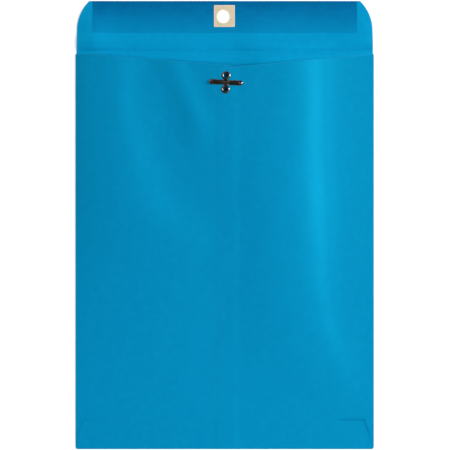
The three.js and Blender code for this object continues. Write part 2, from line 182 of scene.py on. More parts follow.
def add_sheet(name, under, over):
    """A closed sheet from two matching grids of points, its under and upper faces."""
    rows, columns = under.shape[:2]
    lower = np.arange(rows * columns).reshape(rows, columns)
    upper = lower + rows * columns
    faces = []
    for index, turn in ((lower, -1), (upper, 1)):
        corners = [index[:-1, :-1], index[:-1, 1:], index[1:, 1:], index[1:, :-1]][::turn]
        faces += np.stack(corners, axis=-1).reshape(-1, 4).tolist()
    border = [*lower[0, :-1], *lower[:-1, -1], *lower[-1, :0:-1], *lower[:0:-1, 0]]
    for here, there in zip(border, border[1:] + border[:1]):
        faces.append([int(v) for v in (here, there, there + rows * columns, here + rows * columns)])
    return add_object(name, np.concatenate([under.reshape(-1, 3), over.reshape(-1, 3)]), faces)


def apply_modifiers(piece):
    """Keeps the mesh that the piece's modifiers make."""
    made = bpy.data.meshes.new_from_object(piece.evaluated_get(bpy.context.evaluated_depsgraph_get()))
    piece.modifiers.clear()
    piece.data = made
    piece.data.shade_smooth()
    piece.data.set_sharp_from_angle(angle=math.radians(SHARP_ANGLE_DEG))


def cut_or_join(piece, other, operation):
    """Cuts the other mesh out of the piece or joins it on, and deletes the other."""
    step = piece.modifiers.new(operation.lower(), "BOOLEAN")
    step.operation = operation
    step.solver = "EXACT"
    step.object = other
    apply_modifiers(piece)
    bpy.data.objects.remove(other)


def punch(piece, x, y, radius):
    """Punches one round hole through a sheet."""
    shape = bmesh.new()
    bmesh.ops.create_cone(
        shape, cap_ends=True, segments=72, radius1=radius * MM, radius2=radius * MM, depth=30 * MM,
    )
    mesh = bpy.data.meshes.new("punch")
    shape.to_mesh(mesh)
    shape.free()
    cutter = bpy.data.objects.new("punch", mesh)
    cutter.location = (x * MM, y * MM, 0)
    bpy.context.scene.collection.objects.link(cutter)
    bpy.context.view_layer.update()
    cut_or_join(piece, cutter, "DIFFERENCE")


def mark_surface(piece, edge_distance, inner_side=None):
    """Stores each point's place at rest, an edge mark for pale edges and painted light, and its side."""
    mesh = piece.data
    place = np.array([v.co for v in mesh.vertices], float).reshape(-1, 3) / MM
    upward = np.array([v.normal.z for v in mesh.vertices], float)
    inner = inner_side(place, upward) if inner_side else np.zeros(len(place))
    edge_tone = 1 - smooth(0, EDGE_TONE_WIDTH, edge_distance(place[:, 0], place[:, 1]))
    rest = mesh.attributes.new("rest_mm", "FLOAT_VECTOR", "POINT")
    rest.data.foreach_set("vector", place.astype(np.float32).ravel())
    tone_mark = mesh.attributes.new("edge_and_bend_mark", "FLOAT", "POINT")
    tone_mark.data.foreach_set("value", edge_tone.astype(np.float32))
    side = mesh.attributes.new("inner_side", "FLOAT", "POINT")
    side.data.foreach_set("value", inner.astype(np.float32))


# Dyed wove paper, calendered on its outer side. Its inner side is drawn paler, partly its own tone
# and partly painted light for the light that the flap and the mouth catch. The formation of the sheet
# gives soft clouds a few millimetres wide, its fibres a fine felt, and the calendering a low sheen in
# the colour of the dye. Cut edges are drawn paler, partly frayed fibres and partly a painted highlight
# along the lit edges. The felt is drawn at about five times the width of a real fibre, which would
# not show.
def dyed_wove_paper():
    material, tree = new_material("dyed_wove_paper")
    place = add_node(tree, "ShaderNodeAttribute", attribute_name="rest_mm").outputs["Vector"]
    clouds = add_node(tree, "ShaderNodeTexNoise", {
        "Vector": place, "Scale": 1 / FORMATION_SIZE, "Detail": 3.0, "Roughness": 0.6,
    })
    shades = add_node(tree, "ShaderNodeValToRGB", {"Fac": clouds.outputs["Fac"]})
    ramp = shades.color_ramp
    ramp.elements[0].position = 0.3
    ramp.elements[0].color = linear_colour(PAPER_DEEP_COLOUR)
    ramp.elements[1].position = 0.7
    ramp.elements[1].color = linear_colour(PAPER_PALE_COLOUR)
    ramp.elements.new(0.5).color = linear_colour(PAPER_COLOUR)
    felt = []
    for angle in (8, 98, 53):
        turned = add_node(tree, "ShaderNodeMapping", {
            "Vector": place,
            "Rotation": (0, 0, math.radians(angle)),
            "Scale": (1 / FIBRE_LENGTH, 1 / FIBRE_WIDTH, 1 / FIBRE_WIDTH),
        })
        fibres = add_node(tree, "ShaderNodeTexNoise", {
            "Vector": turned.outputs["Vector"], "Scale": 1.0, "Detail": 2.0, "Roughness": 0.65,
        })
        felt.append(fibres.outputs["Fac"])
    crossed = add_node(tree, "ShaderNodeMath", {0: felt[0], 1: felt[1]}, operation="ADD")
    crossed = add_node(tree, "ShaderNodeMath", {0: crossed.outputs[0], 1: felt[2]}, operation="ADD")
    height = add_node(tree, "ShaderNodeMapRange", {
        "Value": crossed.outputs[0], "From Min": 1.05, "From Max": 1.95, "To Min": 0.0, "To Max": 1.0,
    }).outputs["Result"]
    tone = add_node(tree, "ShaderNodeMapRange", {"Value": height, "To Min": 0.975, "To Max": 1.025})
    # Painted light: the inner side is drawn paler, partly its own tone and partly the light on the flap and
    # the mouth.
    inner = add_node(tree, "ShaderNodeAttribute", attribute_name="inner_side").outputs["Fac"]
    lift = add_node(tree, "ShaderNodeMapRange", {"Value": inner, "To Min": 1.0, "To Max": INNER_SIDE_TONE})
    tone = add_node(tree, "ShaderNodeMath", {
        0: tone.outputs["Result"], 1: lift.outputs["Result"],
    }, operation="MULTIPLY")
    toned = add_node(tree, "ShaderNodeVectorMath", {
        0: shades.outputs["Color"], "Scale": tone.outputs[0],
    }, operation="SCALE")
    # Pale cut edges, partly frayed fibres and partly a painted highlight along the lit edges.
    edge_tone = add_node(tree, "ShaderNodeAttribute", attribute_name="edge_and_bend_mark").outputs["Fac"]
    frayed_and_highlit_edge = add_node(tree, "ShaderNodeMath", {0: edge_tone, 1: height}, operation="MULTIPLY")
    frayed_and_highlit_edge = add_node(tree, "ShaderNodeMath", {0: frayed_and_highlit_edge.outputs[0], 1: 0.75}, operation="MULTIPLY")
    colour = add_node(tree, "ShaderNodeMix", {
        0: frayed_and_highlit_edge.outputs[0], 6: toned.outputs["Vector"], 7: linear_colour(CUT_EDGE_AND_HIGHLIGHT_COLOUR),
    }, data_type="RGBA")
    roughness = add_node(tree, "ShaderNodeMapRange", {
        "Value": clouds.outputs["Fac"], "From Min": 0.3, "From Max": 0.7, "To Min": 0.4, "To Max": 0.42,
    })
    bump = add_node(tree, "ShaderNodeBump", {"Height": height, "Strength": 0.12, "Distance": 0.06 * MM})
    surface = add_node(tree, "ShaderNodeBsdfPrincipled", {
        "Base Color": colour.outputs[2],
        "Roughness": roughness.outputs["Result"],
        "IOR": 1.53,
        "Specular IOR Level": 1.0,
        "Specular Tint": linear_colour(PAPER_SHEEN_COLOUR),
        "Normal": bump.outputs["Normal"],
    })
    add_node(tree, "ShaderNodeOutputMaterial", {"Surface": surface.outputs["BSDF"]})
    return material


paper = dyed_wove_paper()
front_low, front_high = box_mm("front_panel")
flap_high = box_mm("seal_flap")[1]
patch_low, patch_high = box_mm("flap_hole_patch")
crease_y = joints["flap_fold"]["pos_m"][1] / MM
panel_half = front_high.x
flap_half = flap_high.x
flap_side = flap_half - FLAP_TAPER
free_edge = flap_high.y
corner_y = crease_y + FLAP_CORNER_RISE
hole_x = (patch_low.x + patch_high.x) / 2 - HOLE_OFFSET_X
hole_y = (patch_low.y + patch_high.y) / 2 - HOLE_OFFSET_Y


def soft_line(points, reach):
    """A curve through chosen points (place, value), rounded over a reach."""
    places, values = zip(*sorted(points))
    offsets = np.linspace(-reach, reach, 9)
    return lambda place: np.mean([np.interp(place + offset, places, values) for offset in offsets], axis=0)


mouth_swell = soft_line(MOUTH_SWELL, MOUTH_SWELL_ROUNDING)
flap_swell = soft_line(FLAP_SWELL, FLAP_SWELL_ROUNDING)


def sheet_height(x, y):
    """How far the sheet stands off the table: arched by the mouth, and sprung up beside the crease."""
    past = y - crease_y
    beyond = smooth(0, FLAP_SWELL_REACH, past)
    from_hole = (x - hole_x) ** 2 + (y - hole_y) ** 2
    flattened = 1 - HOLE_FLATNESS * np.exp(-(from_hole / HOLE_FLAT_REACH ** 2))
    swell = mouth_swell(x) * (1 - beyond) + flap_swell(x) * beyond * flattened
    swell = swell * smooth(*SWELL_RISE, past) * (1 - smooth(*SWELL_FADE, past))
    off = np.sqrt(past ** 2 + CREASE_ROUND ** 2) - CREASE_ROUND
    sprung = CREASE_RISE * (1 - np.exp(-off / CREASE_REACH)) * (1 - smooth(*SPRING_FADE, np.abs(past)))
    glued = np.abs(x / panel_half) ** GLUED_SIDE_POWER * smooth(*GLUED_RISE, past)
    return (swell + sprung) * (1 - np.clip(glued, 0, 1))


def front_half_width(y):
    """Half the sheet's width: the panel, the stepped shoulder, and the flap's round corners."""
    shoulder = crease_y - PANEL_SHOULDER_DROP
    panel = panel_half + (flap_half - panel_half) * smooth(shoulder, shoulder + PANEL_SHOULDER_RISE, y)
    flap = flap_half + (flap_side - flap_half) * np.clip((y - crease_y) / FLAP_CORNER_RISE, 0, 1)
    rise = np.clip(y - corner_y, 0, FLAP_CORNER_RADIUS)
    corner = flap_side - FLAP_CORNER_RADIUS + np.sqrt(FLAP_CORNER_RADIUS ** 2 - rise ** 2)
    return np.where(y < crease_y, panel, np.where(y < corner_y, flap, corner))


corner_cut = math.asin((free_edge - corner_y) / FLAP_CORNER_RADIUS)
# Rows of points lie closest together at the shoulder and the crease, columns towards the sides.
front_rows = np.concatenate([
    np.linspace(front_low.y, crease_y - 16, 60),
    np.linspace(crease_y - 15, crease_y - PANEL_SHOULDER_DROP - 0.4, 14),
    np.linspace(crease_y - PANEL_SHOULDER_DROP, crease_y + 2.8, 40),
    np.linspace(crease_y + 3.2, corner_y, 16),
    corner_y + FLAP_CORNER_RADIUS * np.sin(np.linspace(0.03, corner_cut, 36)),
])
even = np.linspace(-1, 1, FRONT_COLUMNS)
front_shares = np.sin(even * math.pi / 2) * FRONT_CROWDING + even * (1 - FRONT_CROWDING)
y = np.repeat(front_rows[:, None], len(front_shares), axis=1)
x = front_half_width(y) * front_shares[None, :]
lift = sheet_height(x, y)
front_sheet = add_sheet(
    "front_sheet", np.stack([x, y, lift], axis=-1), np.stack([x, y, lift + PAPER], axis=-1),
)
punch(front_sheet, hole_x, hole_y, HOLE_RADIUS)


def front_edge_distance(x, y):
    side = front_half_width(y) - np.abs(x)
    past_crease = np.where(y > crease_y, side, EDGE_TONE_WIDTH)
    return np.minimum(past_crease, EDGE_TONE_WIDTH * FREE_EDGE_TONE_SHARE + free_edge - y)


mark_surface(front_sheet, front_edge_distance, lambda place, upward: upward > 0)
front_sheet.data.materials.append(paper)
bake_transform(front_sheet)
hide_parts("front_panel", "seal_flap")

# Back panels
# The blank's two wide side flaps, folded in at the sides and lapped at the centre seam, the right
# one on top. Handling has left soft folds in them that run down from the throat.
GLUE = 0.05
FLAT_UNDER = 0.45
SEAM_STEP = GLUE + PAPER
BULGE_CROWN = 20.0
BULGE_START = 25.4
BULGE_FULL_DROP = 47.0
SIDE_RISE_POWER = 5
THROAT_SIDE_DROP = 2.4
LEFT_THROAT_DROP = 11.6
RIGHT_THROAT_DROP = 14.0
SEAM_VISIBLE_EDGE = -4.8
SEAM_HIDDEN_EDGE = 5.3
SEAM_RAMP_START = 5.8
SEAM_RAMP_END = 12.6
# How pale the seam's cut edge is drawn; the paleness paints light over the shadow line at the step.
SEAM_TONE_SHARE = 0.42
THROAT_CURL = 0.1
THROAT_CURL_WIDTH = 1.3
# The pale throat edges are partly a painted highlight along the lit cut edge.
THROAT_TONE_MARGIN = 0.3
FOLD_STEPS = 14
FOLD_CORNER_RADIUS = 1.4
CLASP_SEAT_RADIUS = 7.0
CLASP_SEAT_FADE = 17.0
EYELET_HOLE_RADIUS = 2.2
EYELET_SPACING = 10.5
# Where the folds run, chosen: places up the panel and places across, both in millimetres.
LEFT_FALL = [(142, -76), (105, -74), (61, -61), (38, -51), (20, -32), (0, -16)]
LEFT_FALL_WIDTH = 12.0
LEFT_FALL_LOW_WIDTH = 19.0
LEFT_FALL_NARROWS = (20, 110)
LEFT_SHOULDER_HEIGHT = 1.1
LEFT_SHOULDER_RISE = (-25, 35)
LEFT_VALLEY_DEPTH = 1.8
LEFT_VALLEY_FILL = (-50, 5)
SEAM_RIDGE = [(142, -40), (127, -35), (111, -27), (88, -21)]
SEAM_RIDGE_HEIGHT = 1.4
SEAM_RIDGE_WIDTH = 11.0
SEAM_RIDGE_RISE = (62, 110)
RIDGE_ROUNDING = 8
FALL_ROUNDING = 16
RIGHT_FALL = [(142, 70), (65, 70.5), (20, 73), (-26, 75), (-49, 79), (-72, 86), (-95, 97), (-118, 110)]
RIGHT_FALL_WIDTH = 9.5
RIGHT_FALL_SHARE = 0.8
RIGHT_FORE_SHARE = 0.2
RIGHT_FORE_WIDTH = 11.5
RIGHT_FORE_REACH = 16
RIGHT_CREST_HEIGHT = 0.55
RIGHT_CREST_LOW_HEIGHT = 1.35
RIGHT_CREST_LOWERS = (30, 90)
RIGHT_CREST_RISE = (-135, -70)
RIGHT_CREST_SPREAD = 32.0
RIGHT_CREST_FOOT = -5
RIGHT_TOE_SHARE = 0.28
RIGHT_TOE_START = 8
RIGHT_TOE_POWER = 1.6
SEAM_VALLEY_DEPTH = 0.3
SEAM_VALLEY_WIDTH = 22.0
SEAM_VALLEY_X = -8.0
SEAM_VALLEY_RISE = (-105, -30)
SEAM_VALLEY_FADE = (70, 105)
RIPPLE_HEIGHT = 0.035
RIPPLE_RISE = 20

left_low = box_mm("left_back_panel")[0]
right_high = box_mm("right_back_panel")[1]
FLAT_OVER = FLAT_UNDER + PAPER
bottom_y = cad_low.y / MM
body_half = right_high.x
side_radius = FLAT_OVER / 2
side_x = body_half - side_radius
bulge_height = right_high.z - FLAT_OVER - SEAM_STEP
bulge_foot = bottom_y + BULGE_START
clasp_left = Vector(joints["left_prong_bend"]["pos_m"]) / MM
clasp_right = Vector(joints["right_prong_bend"]["pos_m"]) / MM
clasp_middle = (clasp_left + clasp_right) / 2
clasp_across = (clasp_right - clasp_left).normalized()
clasp_up = Vector((-clasp_across.y, clasp_across.x, 0))
eyelets = [clasp_middle + clasp_up * end * EYELET_SPACING / 2 for end in (-1, 1)]
left_fall = soft_line(LEFT_FALL, FALL_ROUNDING)
seam_ridge = soft_line(SEAM_RIDGE, RIDGE_ROUNDING)
right_fall = soft_line(RIGHT_FALL, FALL_ROUNDING)


def step(value, width):
    """A smooth step from 0 to 1 about zero."""
    return 0.5 + 0.5 * np.tanh(value / width)


def back_height(x, y):
    """How far the back panels stand above their flat level.

    The pouch is a slim wedge. A shoulder runs down its left side, a crest down its right side, and
    both fall away to the right of themselves; the paper between them sags a little.
    """
    outward = np.minimum(1, np.maximum(0, np.abs(x) - BULGE_CROWN) / (side_x - BULGE_CROWN))
    held = 1 - outward ** SIDE_RISE_POWER
    full = bulge_height * smooth(bulge_foot, crease_y - BULGE_FULL_DROP, y)
    away = smooth(CLASP_SEAT_RADIUS, CLASP_SEAT_FADE, np.hypot(x - clasp_middle.x, y - clasp_middle.y))
    sag = LEFT_SHOULDER_HEIGHT + LEFT_VALLEY_DEPTH
    spread = LEFT_FALL_WIDTH + (LEFT_FALL_LOW_WIDTH - LEFT_FALL_WIDTH) * (1 - smooth(*LEFT_FALL_NARROWS, y))
    left = LEFT_SHOULDER_HEIGHT - sag * step(x - left_fall(y), spread)
    left = (left + LEFT_VALLEY_DEPTH * smooth(*LEFT_VALLEY_FILL, x)) * smooth(*LEFT_SHOULDER_RISE, y)
    ridge = np.exp(-(((x - seam_ridge(y)) / SEAM_RIDGE_WIDTH) ** 2)) * smooth(*SEAM_RIDGE_RISE, y)
    valley = np.exp(-(((x - SEAM_VALLEY_X) / SEAM_VALLEY_WIDTH) ** 2)) * (1 - smooth(*SEAM_VALLEY_FADE, y))
    fall_x = right_fall(y)
    lowered = smooth(*RIGHT_CREST_LOWERS, y)
    crest = RIGHT_CREST_LOW_HEIGHT + (RIGHT_CREST_HEIGHT - RIGHT_CREST_LOW_HEIGHT) * lowered
    climb = (x - RIGHT_CREST_FOOT) / (fall_x - RIGHT_CREST_SPREAD - RIGHT_CREST_FOOT)
    crest = crest * smooth(0, 1, climb) * smooth(*RIGHT_CREST_RISE, y)
    # Faint ripples a few centimetres long, which do not repeat across the panel.
    ripple = np.sin(x / 6.3 + y / 19) * np.sin(y / 8.1 - x / 23) + 0.6 * np.sin(x / 3.9 - y / 11 + 1.1)
    sunk = SEAM_VALLEY_DEPTH * valley * smooth(*SEAM_VALLEY_RISE, y)
    folds = left + crest + SEAM_RIDGE_HEIGHT * ridge - sunk
    folds = folds + RIPPLE_HEIGHT * ripple * smooth(bulge_foot, bulge_foot + RIPPLE_RISE, y)
    fallen = RIGHT_FALL_SHARE * step(x - fall_x, RIGHT_FALL_WIDTH)
    fallen = fallen + RIGHT_FORE_SHARE * step(x - fall_x + RIGHT_FORE_REACH, RIGHT_FORE_WIDTH)
    out = (x - fall_x - RIGHT_TOE_START) / np.maximum(4, side_x - fall_x - RIGHT_TOE_START)
    toe = RIGHT_TOE_SHARE * full * (1 - np.clip(out, 0, 1)) ** RIGHT_TOE_POWER
    return (full + folds * away) * held * (1 - fallen) + toe * fallen


def seam_ride(x):
    """How far the right panel is carried by the left one, and by the glue between them."""
    return SEAM_STEP * (1 - smooth(SEAM_RAMP_START, SEAM_RAMP_END, x))


def refined(start, end, spacing, fine, fine_steps):
    """Values from start to end at about a spacing, with fine steps next to both ends."""
    turn = 1 if end > start else -1
    near = start + turn * fine * np.arange(fine_steps)
    far = end - turn * fine * np.arange(fine_steps)[::-1]
    count = max(2, int(abs(far[0] - near[-1]) / spacing))
    return np.concatenate([near, np.linspace(near[-1], far[0], count + 1)[1:-1], far])


def back_panel(name, side, seam_edge, throat_drop, ride):
    """One back panel with its half-round side fold; side is -1 on the left and 1 on the right."""
    turn = np.linspace(0, math.pi, FOLD_STEPS, endpoint=False)
    flat_x = refined(side * side_x, seam_edge, spacing=1.35, fine=0.3, fine_steps=5)
    angle = np.concatenate([turn, np.full(len(flat_x), math.pi)])
    line = np.concatenate([np.full(FOLD_STEPS, side * side_x), flat_x])
    share_across = (side_x - side * line) / (side_x - side * seam_edge)
    throat = crease_y - THROAT_SIDE_DROP - (throat_drop - THROAT_SIDE_DROP) * share_across
    inward = np.clip((FOLD_CORNER_RADIUS - (body_half - side * line)) / FOLD_CORNER_RADIUS, 0, 1)
    foot = left_low.y + FOLD_CORNER_RADIUS * (1 - np.sqrt(1 - inward ** 2))
    rows = refined(0, 1, spacing=0.0052, fine=0.001, fine_steps=7)
    y = foot[None, :] + (throat - foot)[None, :] * rows[:, None]
    base_x = np.repeat(line[None, :], len(rows), axis=0)
    drop = throat[None, :] - y
    curl = THROAT_CURL * np.clip(1 - drop / THROAT_CURL_WIDTH, 0, 1) ** 2
    grids = []
    for layer in (0, 1):
        radius = side_radius - (PAPER if layer == 0 else 0)
        fold_x = base_x + side * radius * np.sin(angle)
        fold_z = side_radius - radius * np.cos(angle) + 0 * y
        flat_z = FLAT_UNDER + PAPER * layer + ride(base_x) + back_height(base_x, y)
        flat_z = flat_z + curl * smooth(0, 12, side_x - side * base_x)
        flat = angle >= math.pi - 1e-9
        grids.append(np.stack([fold_x, y, np.where(flat[None, :], flat_z, fold_z)], axis=-1))
    panel = add_sheet(name, *grids)
    for eyelet in eyelets:
        punch(panel, eyelet.x, eyelet.y, EYELET_HOLE_RADIUS)

    def edge_distance(x, y):
        share = np.clip((side_x - side * x) / (side_x - side * seam_edge), 0, 1)
        top = crease_y - THROAT_SIDE_DROP - (throat_drop - THROAT_SIDE_DROP) * share
        seam = EDGE_TONE_WIDTH * SEAM_TONE_SHARE + side * (x - seam_edge)
        return np.minimum(THROAT_TONE_MARGIN + top - y, seam)

    mark_surface(panel, edge_distance, lambda place, up: (up < 0) & (np.abs(place[:, 0]) < side_x))
    panel.data.materials.append(paper)
    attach(panel, "pouch")
    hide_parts(name.replace("_sheet", "_panel"))
    return panel


back_panel("left_back_sheet", -1, SEAM_HIDDEN_EDGE, LEFT_THROAT_DROP, lambda x: 0 * x)
back_panel("right_back_sheet", 1, SEAM_VISIBLE_EDGE, RIGHT_THROAT_DROP, seam_ride)

# Glue of the centre seam
# A thin line of dried white adhesive between the two back panels, rolled on before they are lapped.
# Its edges wander a little where it was pressed out.
ADHESIVE_COLOUR = "#d6d0bb"
ADHESIVE_THIN_COLOUR = "#b9bfb4"
ADHESIVE_BEAD_SIZE = 2.0
SEAM_GLUE_INSET = 1.2
GLUE_WANDER = 0.35


# Dried vinyl adhesive, rolled on: a cloudy film, smooth where it is thick and matt where it is thin.
def dried_adhesive():
    material, tree = new_material("dried_vinyl_adhesive")
    place = add_node(tree, "ShaderNodeAttribute", attribute_name="rest_mm").outputs["Vector"]
    beads = add_node(tree, "ShaderNodeTexNoise", {
        "Vector": place, "Scale": 1 / ADHESIVE_BEAD_SIZE, "Detail": 3.0,
    })
    colour = add_node(tree, "ShaderNodeMix", {
        0: beads.outputs["Fac"],
        6: linear_colour(ADHESIVE_THIN_COLOUR),
        7: linear_colour(ADHESIVE_COLOUR),
    }, data_type="RGBA")
    roughness = add_node(tree, "ShaderNodeMapRange", {
        "Value": beads.outputs["Fac"], "To Min": 0.65, "To Max": 0.35,
    })
    bump = add_node(tree, "ShaderNodeBump", {
        "Height": beads.outputs["Fac"], "Strength": 0.3, "Distance": 0.1 * MM,
    })
    surface = add_node(tree, "ShaderNodeBsdfPrincipled", {
        "Base Color": colour.outputs[2],
        "Roughness": roughness.outputs["Result"],
        "IOR": 1.47,
        "Normal": bump.outputs["Normal"],
    })
    add_node(tree, "ShaderNodeOutputMaterial", {"Surface": surface.outputs["BSDF"]})
    return material


adhesive = dried_adhesive()
glue_low, glue_high = box_mm("centre_seam_glue")
rows = np.linspace(glue_low.y, glue_high.y - 0.6, 220)
shares = np.linspace(0, 1, 12)
y = np.repeat(rows[:, None], len(shares), axis=1)
left_side = SEAM_VISIBLE_EDGE + SEAM_GLUE_INSET + GLUE_WANDER * (0.5 + 0.5 * np.sin(y / 7.3))
right_side = SEAM_HIDDEN_EDGE - SEAM_GLUE_INSET - GLUE_WANDER * (0.5 + 0.5 * np.sin(y / 5.1 + 2))
x = left_side + (right_side - left_side) * shares[None, :]
level = FLAT_OVER + back_height(x, y)
seam_glue = add_sheet(
    "seam_glue_line", np.stack([x, y, level], axis=-1), np.stack([x, y, level + GLUE], axis=-1),
)
for eyelet in eyelets:
    punch(seam_glue, eyelet.x, eyelet.y, EYELET_HOLE_RADIUS)
mark_surface(seam_glue, lambda x, y: x - SEAM_VISIBLE_EDGE)
seam_glue.data.materials.append(adhesive)
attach(seam_glue, "pouch")
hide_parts("centre_seam_glue")

# Bottom flap
# The blank's bottom end, folded up from the front panel over both back panels and glued down. Its
# side edges slant in to narrow shoulders, and its cut edge lifts a little past the glue, most at
# the right corner.
BOTTOM_SHOULDER = 8.5
BOTTOM_FOOT_INSET = 1.0
BOTTOM_SHOULDER_INSET = 1.7
BOTTOM_TOP_INSET = 7.2
BOTTOM_RAMP = 4.0
BOTTOM_LIFT = 0.03
BOTTOM_CORNER_LIFT = 0.55
BOTTOM_CORNER_X = 102.0
BOTTOM_CORNER_WIDTH = 11.0
BOTTOM_LEFT_LIFT = 0.35
BOTTOM_LEFT_X = -109.0
BOTTOM_LEFT_WIDTH = 9.0
BOTTOM_TONE_SHARE = 0.8
BOTTOM_LIFT_WIDTH = 1.7
BOTTOM_LIFT_RISE = (2, 8)
bottom_low, bottom_high = box_mm("bottom_flap")
bottom_radius = (FLAT_OVER + SEAM_STEP + GLUE + PAPER) / 2
bottom_fold_y = bottom_low.y + bottom_radius


def cover_height(x):
    """Top of the back panels where they lie flat under the bottom flap."""
    over_seam = SEAM_STEP * smooth(SEAM_VISIBLE_EDGE - BOTTOM_RAMP, SEAM_VISIBLE_EDGE, x)
    return FLAT_OVER + np.where(x < SEAM_VISIBLE_EDGE, over_seam, seam_ride(x))


def bottom_half_width(y):
    """Half the bottom flap's width, between its slanted side edges."""
    shoulder_y = bottom_low.y + BOTTOM_SHOULDER
    insets = [BOTTOM_FOOT_INSET, BOTTOM_SHOULDER_INSET, BOTTOM_TOP_INSET]
    return body_half - np.interp(y, [bottom_fold_y, shoulder_y, bottom_high.y], insets)


fold_angles = np.linspace(0, math.pi, FOLD_STEPS, endpoint=False)
flat_rows = refined(bottom_fold_y, bottom_high.y, spacing=0.7, fine=0.25, fine_steps=6)
angle = np.concatenate([fold_angles, np.full(len(flat_rows), math.pi)])[:, None]
row_y = np.concatenate([np.full(len(fold_angles), bottom_fold_y), flat_rows])[:, None]
shares = refined(-1, 1, spacing=0.012, fine=0.0022, fine_steps=6)[None, :]
x = bottom_half_width(row_y) * shares
top_drop = bottom_high.y - row_y
side_drop = bottom_half_width(row_y) - np.abs(x)
edge_drop = np.minimum(top_drop, side_drop)
corner = BOTTOM_CORNER_LIFT * np.exp(-(((x - BOTTOM_CORNER_X) / BOTTOM_CORNER_WIDTH) ** 4))
corner = corner + BOTTOM_LEFT_LIFT * np.exp(-(((x - BOTTOM_LEFT_X) / BOTTOM_LEFT_WIDTH) ** 4))
lift = (BOTTOM_LIFT + corner) * np.clip(1 - edge_drop / BOTTOM_LIFT_WIDTH, 0, 1) ** 2
lift = lift * (0.65 + 0.35 * np.sin(x / 13 + 0.7)) * smooth(*BOTTOM_LIFT_RISE, row_y - bottom_fold_y)
height = cover_height(x) + GLUE + PAPER
grids = []
for inset in (PAPER, 0):
    fold_y = row_y - (bottom_radius - inset) * np.sin(angle) + 0 * x
    z = inset + (height / 2 - inset) * (1 - np.cos(angle)) + lift
    grids.append(np.stack([x, fold_y, z], axis=-1))
bottom_flap = add_sheet("bottom_flap_sheet", *grids)


def bottom_edge_distance(x, y):
    cut = np.minimum(bottom_high.y - y, bottom_half_width(y) - np.abs(x))
    return EDGE_TONE_WIDTH * BOTTOM_TONE_SHARE + cut


mark_surface(bottom_flap, bottom_edge_distance)
bottom_flap.data.materials.append(paper)
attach(bottom_flap, "pouch")
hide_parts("bottom_flap")

# Glue of the bottom flap
# The same adhesive in one band across the envelope, which holds the bottom flap on the back panels.
band_low, band_high = box_mm("bottom_flap_glue")
rows = np.linspace(0, 1, 12)
x = np.repeat(np.linspace(band_low.x, band_high.x, 240)[None, :], len(rows), axis=0)
lower_side = band_low.y + GLUE_WANDER * (0.5 + 0.5 * np.sin(x / 6.1))
upper_side = band_high.y - GLUE_WANDER * (0.5 + 0.5 * np.sin(x / 8.3 + 1))
y = lower_side + (upper_side - lower_side) * rows[:, None]
level = cover_height(x)
bottom_glue = add_sheet(
    "bottom_glue_band", np.stack([x, y, level], axis=-1), np.stack([x, y, level + GLUE], axis=-1),
)
mark_surface(bottom_glue, lambda x, y: y - band_low.y)
bottom_glue.data.materials.append(adhesive)
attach(bottom_glue, "pouch")
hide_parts("bottom_flap_glue")

# Gum strip
# Remoistenable gum, rolled wet onto the inside of the seal flap and dried to a glossy film. The
# paper looks darker through it, and the film is drawn darker towards the free edge.
GUM_DARK_COLOUR = "#016196"
GUM_MIDDLE_COLOUR = "#0276aa"
GUM_LIGHT_COLOUR = "#0384b7"
GUM_EDGE = 0.05
GUM_SHEEN_COLOUR = "#3fc4ff"
GUM_STREAK_LENGTH = 60.0
GUM_STREAK_WIDTH = 1.1
GUM_CLOUD_SIZE = 9.0
GUM_WANDER = 0.22
gum_low, gum_high = box_mm("flap_gum_strip")


# Dried dextrin gum, rolled on: long faint streaks along the roller's path, and a soft gloss.
def dried_gum():
    material, tree = new_material("dried_dextrin_gum")
    place = add_node(tree, "ShaderNodeAttribute", attribute_name="rest_mm").outputs["Vector"]
    across = add_node(tree, "ShaderNodeSeparateXYZ", {"Vector": place}).outputs["Y"]
    clouds = add_node(tree, "ShaderNodeTexNoise", {
        "Vector": place, "Scale": 1 / GUM_CLOUD_SIZE, "Detail": 3.0,
    })
    streak_place = add_node(tree, "ShaderNodeMapping", {
        "Vector": place, "Scale": (1 / GUM_STREAK_LENGTH, 1 / GUM_STREAK_WIDTH, 1),
    })
    streaks = add_node(tree, "ShaderNodeTexNoise", {
        "Vector": streak_place.outputs["Vector"], "Scale": 1.0, "Detail": 4.0, "Roughness": 0.6,
    })
    # Drawn darker towards the free edge.
    toward_free_edge = add_node(tree, "ShaderNodeMapRange", {
        "Value": across, "From Min": gum_low.y, "From Max": free_edge, "To Min": 0.0, "To Max": 0.7,
    })
    uneven = add_node(tree, "ShaderNodeMath", {
        0: clouds.outputs["Fac"], 1: 0.35, 2: toward_free_edge.outputs["Result"],
    }, operation="MULTIPLY_ADD")
    uneven = add_node(tree, "ShaderNodeMath", {
        0: streaks.outputs["Fac"], 1: 0.3, 2: uneven.outputs[0],
    }, operation="MULTIPLY_ADD")
    shades = add_node(tree, "ShaderNodeValToRGB", {"Fac": uneven.outputs[0]})
    ramp = shades.color_ramp
    ramp.elements[0].position = 0.3
    ramp.elements[0].color = linear_colour(GUM_LIGHT_COLOUR)
    ramp.elements[1].position = 1.0
    ramp.elements[1].color = linear_colour(GUM_DARK_COLOUR)
    ramp.elements.new(0.66).color = linear_colour(GUM_MIDDLE_COLOUR)
    roughness = add_node(tree, "ShaderNodeMapRange", {
        "Value": clouds.outputs["Fac"], "To Min": 0.22, "To Max": 0.42,
    })
    bump = add_node(tree, "ShaderNodeBump", {
        "Height": streaks.outputs["Fac"], "Strength": 0.2, "Distance": 0.05 * MM,
    })
    surface = add_node(tree, "ShaderNodeBsdfPrincipled", {
        "Base Color": shades.outputs["Color"],
        "Roughness": roughness.outputs["Result"],
        "IOR": 1.5,
        "Specular Tint": linear_colour(GUM_SHEEN_COLOUR),
        "Normal": bump.outputs["Normal"],
    })
    add_node(tree, "ShaderNodeOutputMaterial", {"Surface": surface.outputs["BSDF"]})
    return material


